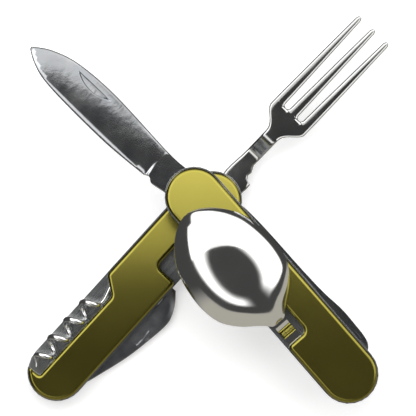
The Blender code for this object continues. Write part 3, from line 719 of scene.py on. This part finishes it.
def bowl_crown(x, t):
    """The bowl's height over its rim at x along it and t, from -1 to 1, across it."""
    reach = BOWL_TOP_AT - SPOON_RISE[1] if x < BOWL_TOP_AT else SPOON_LENGTH - BOWL_TOP_AT
    along = min(1.0, max(-1.0, (x - BOWL_TOP_AT) / reach))
    off_top = math.sqrt(along ** 2 + (1 - along ** 2) * t ** 2)
    return BOWL_DEPTH * max(0.0, 1 - off_top ** 3.0) ** 0.85


def build_spoon():
    half = SPOON_THICKNESS / 2
    tang_z = layer("spoon")[0] + half
    bowl_z = layer("knife_half_cover")[1] + FOLDED_GAP + half
    across = [math.sin(math.pi / 2 * i / 14) for i in range(-14, 15)]
    rows = []
    for x in spoon_stations():
        centre = 3.6 * ease(x, 0.0, 14.0)
        width = spoon_half_width(x)
        level = tang_z + (bowl_z - tang_z) * ease(x, *SPOON_RISE)
        rows.append([(x, centre + width * t, level + bowl_crown(x, t), half) for t in across])
    to_world = placed(KNIFE_HALF, SPOON_PIN, 180.0)
    piece = sheet("spoon_bowl", rows, to_world, sharp=55.0)
    pin_hole(piece, to_world, (tang_z - 1, tang_z + 1))
    add_edge_bevel(piece, 0.3)
    finish_piece(piece, "spoon", ["spoon"], MIRROR)


FORK_TANG = ((-3.6, -1.2, 1.6), (-2.6, -2.6, 3.0), (0.0, -3.7, 4.0), (5.0, -3.4, 5.6), (9.5, -3.0, 7.0),
             (11.5, -3.2, 7.3), (13.6, -3.0, 7.3), (14.2, -1.0, 7.3), (15.6, -0.1, 7.2), (17.2, -0.3, 7.1),
             (18.2, 0.2, 7.0), (19.8, 1.0, 6.9))
FORK_LENGTH, FORK_THICKNESS, FORK_RISE = 86.4, 1.6, (21.5, 31.5)
HEAD_WIDTH, SLOT_WIDTH, SLOT_START = 17.3, 2.4, 43.0
TINE_WIDTH = (HEAD_WIDTH - 2 * SLOT_WIDTH) / 3
SLOT_ROUND = SLOT_WIDTH / 2
RIM_PLACES = (0.0, 0.18, 0.36, 0.58, 0.8)
RIM_DROP = ((0.0, 0.62), (0.36, 0.12), (0.8, 0.0))


def straight_between(table, x):
    """The value at x of a table of (x, y) joined by straight lines."""
    for (x1, y1), (x2, y2) in zip(table, table[1:]):
        if x <= x2:
            return y1 + (y2 - y1) * (x - x1) / (x2 - x1)
    return table[-1][1]


def across_tine(low, high):
    """Places across a tine, closer together along its stepped rims."""
    width = high - low
    scale = min(1.0, width / 2.0)
    near = [low + step_in * scale for step_in in RIM_PLACES]
    far = [high - step_in * scale for step_in in RIM_PLACES[::-1]]
    return near + [(low + high) / 2] + far


def across_head(low, high, pattern):
    """The same places as the pattern's, moved between the two sides of the head or neck."""
    reach = RIM_PLACES[-1]
    scale = min(1.0, (high - low) / 4.0)
    inner_low, inner_high = low + reach * scale, high - reach * scale
    places = []
    for value in pattern:
        from_low, from_high = value - pattern[0], pattern[-1] - value
        if from_low < reach:
            places.append(low + from_low * scale)
        elif from_high < reach:
            places.append(high - from_high * scale)
        else:
            part = (from_low - reach) / (pattern[-1] - pattern[0] - 2 * reach)
            places.append(inner_low + (inner_high - inner_low) * part)
    return places


def across_tines(x, middles):
    """The places across the three tines at x: they narrow and close up towards their round tips."""
    tip_spacing, tip_width, tip_round = 6.9, 2.1, 1.5
    taper = (x - SLOT_START) / (FORK_LENGTH - SLOT_START)
    into_slot = 1 - min(1.0, (x - SLOT_START) / SLOT_ROUND)
    narrowing = SLOT_ROUND * (1 - math.sqrt(1 - into_slot ** 2))
    end_round = math.sqrt(max(0.03, 1 - max(0.0, (x - FORK_LENGTH + tip_round) / tip_round) ** 2))
    half = (TINE_WIDTH / 2 + (tip_width - TINE_WIDTH) / 2 * taper ** 1.15) * end_round
    places = []
    for side, start in zip((-1, 0, 1), middles):
        middle = start + (side * tip_spacing - start) * taper
        low = middle - half - (narrowing if side > -1 else 0.0)
        high = middle + half + (narrowing if side < 1 else 0.0)
        places += across_tine(low, high)
    return places


def fork_stations():
    """The places along the fork beyond its tang, closer together where it bends or rounds."""
    low, high = FORK_RISE
    stations = [low + (high - low) * i / 14 for i in range(15)] + [32.2 + i for i in range(10)]
    stations += [SLOT_START - step_in for step_in in RIM_PLACES[:0:-1]]
    stations += [SLOT_START + SLOT_ROUND * (1 - math.cos(math.pi / 2 * i / 6)) for i in range(7)]
    stations += [46.0 + 2.5 * i for i in range(15)] + [83.0, 84.2]
    return stations + [FORK_LENGTH - 1.5 * (1 - math.sin(math.pi / 2 * i / 7)) for i in range(8)]


def fork_rows(tang_z, head_z):
    """Rows of (x, places across, height) from the tang to the tips."""
    offset, neck_half, arch = 3.9, 2.95, 0.45
    middles = [side * (TINE_WIDTH + SLOT_WIDTH) for side in (-1, 0, 1)]
    pattern = [y for middle in middles
               for y in across_tine(middle - TINE_WIDTH / 2, middle + TINE_WIDTH / 2)]
    rows = [(x, across_head(low, high, pattern), tang_z) for x, low, high in FORK_TANG]
    for x in fork_stations():
        level = tang_z + (head_z - tang_z) * ease(x, *FORK_RISE)
        if x > FORK_RISE[1]:
            level += arch * math.sin(math.pi * (x - FORK_RISE[1]) / (FORK_LENGTH - FORK_RISE[1]))
        half_head = neck_half + (HEAD_WIDTH / 2 - neck_half) * ease(x, 31.5, 40.5) ** 1.6
        places = across_head(-half_head, half_head, pattern)
        if x >= SLOT_START:
            places = across_tines(x, middles)
        rows.append((x, [offset + y for y in places], level))
    return rows


def fork_grid(rows, slot_row, slots):
    """The rows as points (x, y, z, half thickness), thinned in steps towards every free edge."""
    per_tine = slots[0] + 1
    grid = []
    for i, (x, places, level) in enumerate(rows):
        row = []
        for j, y in enumerate(places):
            gap = min(y - places[0], places[-1] - y)
            if i >= slot_row:
                first = j // per_tine * per_tine
                gap = min(y - places[first], places[first + per_tine - 1] - y)
            elif x > SLOT_START - 1.0 and min(abs(j - k - 0.5) for k in slots) < 1:
                gap = min(gap, SLOT_START - x)
            row.append((x, y, level, FORK_THICKNESS / 2 - straight_between(RIM_DROP, gap)))
        grid.append(row)
    return grid


def build_fork():
    tang_z = layer("fork")[0] + FORK_THICKNESS / 2
    rows = fork_rows(tang_z, layer("fork_half_cover")[1] + FOLDED_GAP + FORK_THICKNESS / 2)
    slot_row = len(FORK_TANG) + fork_stations().index(SLOT_START)
    per_tine = len(RIM_PLACES) * 2 + 1
    slots = (per_tine - 1, 2 * per_tine - 1)
    missing = [(i, j) for i in range(slot_row, len(rows) - 1) for j in slots]
    to_world = placed(FORK_HALF, FORK_PIN, FORK_ANGLE)
    piece = sheet("fork_head", fork_grid(rows, slot_row, slots), to_world, missing, sharp=50.0)
    pin_hole(piece, to_world, (tang_z - 1, tang_z + 1))
    finish_piece(piece, "fork", ["fork"], FORK_STEEL)
    # the fork's gently sloping rims get the painted highlight finish
    add_painted_rim_highlights(piece, to_world((0.0, 0.0, 0.0)), (FORK_RISE[1] + 1.0) * MM)


def add_painted_rim_highlights(piece, pin, reach):
    """Gives the gently sloping rims beyond the neck the pale painted highlight finish."""
    piece.data.materials.append(RIM_HIGHLIGHT)
    for face in piece.data.polygons:
        beyond = (face.center.xy - pin.xy).length > reach
        if beyond and 0.9 < face.normal.z < 0.985:
            face.material_index = 1


# ---------------------------------------------------------------- corkscrew

def wire_path(middle):
    """Points (x, y, z, wire radius) from the eye along a straight shank and round the helix to its tip."""
    start, end, pitch, radius, axis_y, turned_in = 56.3, 89.8, 8.7, 2.75, -7.5, 0.6
    eye_x, eye_y = CORKSCREW_PIN
    path = []
    for i in range(14):
        t = 0.32 + 0.66 * i / 14
        y = eye_y + (axis_y + radius - eye_y) * ease(t, 0.0, 1.0)
        path.append((eye_x + (start - 1.0 - eye_x) * t, y, middle, 0.95))
    steps = 220
    for i in range(steps + 1):
        t = i / steps
        x = start - turned_in + (end - start + turned_in) * t
        turn = 2 * math.pi * max(0.0, x - start) / pitch
        coil = radius + (1.2 - radius) * ease(x, 85.4, end)
        taper = min(1.0, 0.1 + 5.5 * (1 - t))
        path.append((x, axis_y + coil * math.cos(turn), middle + coil * math.sin(turn), 1.07 * taper))
    return path


def build_corkscrew():
    z = layer("fork_spring")
    eye = plate("corkscrew_eye", circle((0, 0), 3.0, 48), z, placed(FORK_HALF, CORKSCREW_PIN),
                [circle((0, 0), RIVET_HOLE_RADIUS)], 0.12)
    finish_piece(eye, "corkscrew", ["corkscrew"], WIRE)
    path = wire_path((z[0] + z[1]) / 2)
    points = [Vector(p[:3]) for p in path]
    round_wire = circle((0, 0), 1.0, 20)
    rings = []
    for i, point in enumerate(points):
        along = (points[min(i + 1, len(points) - 1)] - points[max(i - 1, 0)]).normalized()
        side = along.cross(Vector((0, 0, 1))).normalized()
        up = side.cross(along)
        rings.append([tuple(point + (side * x + up * y) * path[i][3]) for x, y in round_wire])
    wire = skin("corkscrew_wire", rings, placed(FORK_HALF), sharp=60.0)
    finish_piece(wire, "corkscrew", ["corkscrew"], WIRE)


# ---------------------------------------------------------------- carried-over CAD nodes

def finish_cad_nodes():
    finishes = {"liner": None, "inner_plate": None, "spring": SPRING, "pin": PIN, "rivet": PIN, "stud": PIN}
    for name, node in frame["nodes"].items():
        word = next((word for word in finishes if word in name), None)
        if word is None:
            continue
        liner = KNIFE_LINER if name.startswith("knife_half") else FORK_LINER
        node.data.materials.clear()
        node.data.materials.append(finishes[word] or liner)
        weld = node.modifiers.new("weld", 'WELD')
        weld.merge_threshold = 0.00001
        add_edge_bevel(node, 0.08, 2, 40.0)


# ---------------------------------------------------------------- studio

def build_stage():
    size, below = 3.0, 0.0001
    corners = [(x * size, y * size, -below) for x, y in ((-1, -1), (1, -1), (1, 1), (-1, 1))]
    mesh = bpy.data.meshes.new("floor")
    mesh.from_pydata(corners, [], [(0, 1, 2, 3)])
    floor = bpy.data.objects.new("floor", mesh)
    COLLECTION.objects.link(floor)
    finish, _, shader = new_material("paper")
    shader.inputs["Base Color"].default_value = (0.85, 0.85, 0.85, 1)
    shader.inputs["Emission Color"].default_value = (1, 1, 1, 1)
    shader.inputs["Emission Strength"].default_value = 0.45
    shader.inputs["Roughness"].default_value = 0.9
    shader.inputs["Specular IOR Level"].default_value = 0.1
    floor.data.materials.append(finish)
    floor.visible_glossy = False


def towards(tree, split, x, y):
    return maths(tree, 'ADD', maths(tree, 'MULTIPLY', split.outputs["X"], x),
                 maths(tree, 'MULTIPLY', split.outputs["Y"], y))


def positive_part(tree, value):
    """Close to the value where it is positive and to nothing where it is negative, with no corner."""
    root = maths(tree, 'SQRT', maths(tree, 'ADD', maths(tree, 'MULTIPLY', value, value), 0.03))
    return maths(tree, 'MULTIPLY', maths(tree, 'ADD', value, root), 0.5)


def build_sky():
    """Soft studio surroundings: a broad bright ring with a gap on one side, dark straight above it and
    towards the horizon, and a dim warm floor glow at the front."""
    ring_level, glow_level, fill_level, glow_colour = 1.5, 0.4, 0.06, (1.0, 0.96, 0.85)
    front_drop, beside_drop, behind_rise = 0.54, 0.3, 0.55
    world = bpy.data.worlds.new("studio")
    bpy.context.scene.world = world
    world.use_nodes = True
    tree = world.node_tree
    background = tree.nodes["Background"]
    place = tree.nodes.new("ShaderNodeTexCoord")
    split = tree.nodes.new("ShaderNodeSeparateXYZ")
    tree.links.new(place.outputs["Generated"], split.inputs[0])
    height = split.outputs["Z"]
    front = towards(tree, split, 0.45, -0.89)
    beside = positive_part(tree, towards(tree, split, -0.87, -0.5))
    behind = step(tree, towards(tree, split, 0.5, 0.87), 0.1, 0.75)
    raised = maths(tree, 'SUBTRACT', height, maths(tree, 'MULTIPLY', positive_part(tree, front), front_drop))
    raised = maths(tree, 'SUBTRACT', raised, maths(tree, 'MULTIPLY', beside, beside_drop))
    raised = maths(tree, 'ADD', raised, maths(tree, 'MULTIPLY', behind, behind_rise))
    ring = maths(tree, 'MULTIPLY', step(tree, raised, 0.38, 0.52), step(tree, height, 0.965, 0.885))
    ring = maths(tree, 'MULTIPLY', ring, step(tree, height, 0.0, 0.12))
    spread = maths(tree, 'SQRT', maths(tree, 'SUBTRACT', 1.0, maths(tree, 'MULTIPLY', height, height)))
    gap = step(tree, maths(tree, 'DIVIDE', towards(tree, split, 0.66, -0.75), spread), 0.70, 0.97)
    ring = maths(tree, 'MULTIPLY', ring, maths(tree, 'SUBTRACT', 1.0, gap))
    glow = maths(tree, 'MULTIPLY', step(tree, raised, 0.09, -0.01), step(tree, front, 0.08, 0.35))
    level = maths(tree, 'ADD', maths(tree, 'MULTIPLY', ring, ring_level),
                  maths(tree, 'MULTIPLY', glow, glow_level))
    level = maths(tree, 'ADD', level, fill_level)
    tree.links.new(mix_colour(tree, glow, (1.0, 1.0, 1.0), glow_colour), background.inputs["Color"])
    tree.links.new(level, background.inputs["Strength"])


def build_light():
    """One large card overhead, its front edge just behind the middle of the object."""
    width, depth, height, radiance, turned = 1.0, 0.55, 0.40, 1.15, math.radians(20.0)
    front_edge = Vector((0.0, 0.080))
    middle = front_edge + Matrix.Rotation(turned, 2) @ Vector((0.0, depth / 2))
    light = bpy.data.lights.new("overhead_card", 'AREA')
    light.shape = 'RECTANGLE'
    light.size, light.size_y = width, depth
    light.energy = radiance * math.pi * width * depth
    lamp = bpy.data.objects.new("overhead_card", light)
    COLLECTION.objects.link(lamp)
    lamp.location = (*middle, height)
    lamp.rotation_euler = (0.0, 0.0, turned)
    lamp.visible_camera = False


def build_camera():
    """Straight above, with the view's width set at the height of the blades."""
    view_width, height, reference_z = 0.1531, 1.1, 0.012
    camera = bpy.data.cameras.new("camera")
    camera.sensor_width = 36.0
    camera.lens = camera.sensor_width * (height - reference_z) / view_width
    holder = bpy.data.objects.new("camera", camera)
    COLLECTION.objects.link(holder)
    holder.location = (0.00015, 0.00035, height)
    bpy.context.scene.camera = holder


def main():
    bpy.context.scene.view_settings.view_transform = 'Standard'
    build_camera()
    build_stage()
    build_sky()
    build_light()
    build_covers()
    build_knife()
    build_second_blade()
    build_opener()
    build_spoon()
    build_fork()
    build_corkscrew()
    finish_cad_nodes()


main()
